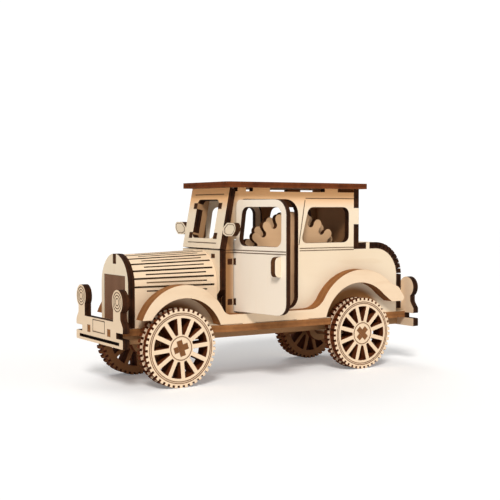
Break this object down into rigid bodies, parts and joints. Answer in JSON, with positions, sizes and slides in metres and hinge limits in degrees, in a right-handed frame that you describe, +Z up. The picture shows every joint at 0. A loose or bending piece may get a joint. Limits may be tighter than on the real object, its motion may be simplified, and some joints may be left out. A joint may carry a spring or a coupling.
{
  "type": "wooden puzzle vintage car",
  "caption": "Flat-pack plywood model of a vintage saloon car with slatted bonnet, arched fenders, spoked wheels that roll and doors that swing open.",
  "frame": {"origin": "on the ground, in the centre plane, midway between the outer faces of the two bumpers", "axes": "-X towards the front of the car, -Y towards its left side, +Z up"},
  "size_m": [0.1458, 0.0687, 0.0799],
  "materials": {
    "ply": "matt, with burnt cut edges",
    "ply_inner": "matt, with burnt cut edges",
    "burnt_edge": "matt, burnt"
  },
  "bodies": {
    "chassis": {"floor_board": "ply", "rail_left": "ply_inner", "rail_right": "ply_inner", "front_bumper": "ply", "rear_bumper": "ply", "radiator": "ply", "bonnet_sheet": "ply", "bonnet_spine": "ply_inner", "scuttle": "ply", "windscreen": "ply", "screen_bracket_left": "ply_inner", "screen_bracket_right": "ply_inner", "mirror_left": "ply", "mirror_right": "ply", "side_panel_left": "ply", "side_panel_right": "ply", "roof": "ply", "rear_wall": "ply", "boot_sheet": "ply", "fender_left": "ply", "fender_right": "ply", "fender_liner_left": "ply_inner", "fender_liner_right": "ply_inner", "hinge_brackets_left": "ply_inner", "hinge_brackets_right": "ply_inner", "hinge_pins_left": "burnt_edge", "hinge_pins_right": "burnt_edge", "finger_plate_near": "ply_inner", "finger_plate_far": "ply_inner"},
    "front_axle": {"front_axle_strip_a": "burnt_edge", "front_axle_strip_b": "burnt_edge", "wheel_fl_outer": "ply", "wheel_fl_core": "ply_inner", "wheel_fl_inner": "ply", "wheel_fr_outer": "ply", "wheel_fr_core": "ply_inner", "wheel_fr_inner": "ply"},
    "rear_axle": {"rear_axle_strip_a": "burnt_edge", "rear_axle_strip_b": "burnt_edge", "wheel_rl_outer": "ply", "wheel_rl_core": "ply_inner", "wheel_rl_inner": "ply", "wheel_rr_outer": "ply", "wheel_rr_core": "ply_inner", "wheel_rr_inner": "ply"},
    "left_door": {"door_left": "ply", "door_handle_left": "ply"},
    "right_door": {"door_right": "ply", "door_handle_right": "ply"}
  },
  "joints": [
    {"name": "front_axle_roll", "type": "hinge", "parent": "chassis", "child": "front_axle", "pos_m": [-0.04865, 0, 0.01533], "axis": [0, 1, 0], "continuous": true},
    {"name": "rear_axle_roll", "type": "hinge", "parent": "chassis", "child": "rear_axle", "pos_m": [0.04025, 0, 0.01533], "axis": [0, 1, 0], "continuous": true},
    {"name": "door_left_hinge", "type": "hinge", "parent": "chassis", "child": "left_door", "pos_m": [-0.019, -0.01415, 0.0395], "axis": [0, 0, 1], "range_deg": [-11, 79]},
    {"name": "door_right_hinge", "type": "hinge", "parent": "chassis", "child": "right_door", "pos_m": [-0.019, 0.01415, 0.0395], "axis": [0, 0, 1], "range_deg": [0, 90]}
  ]
}
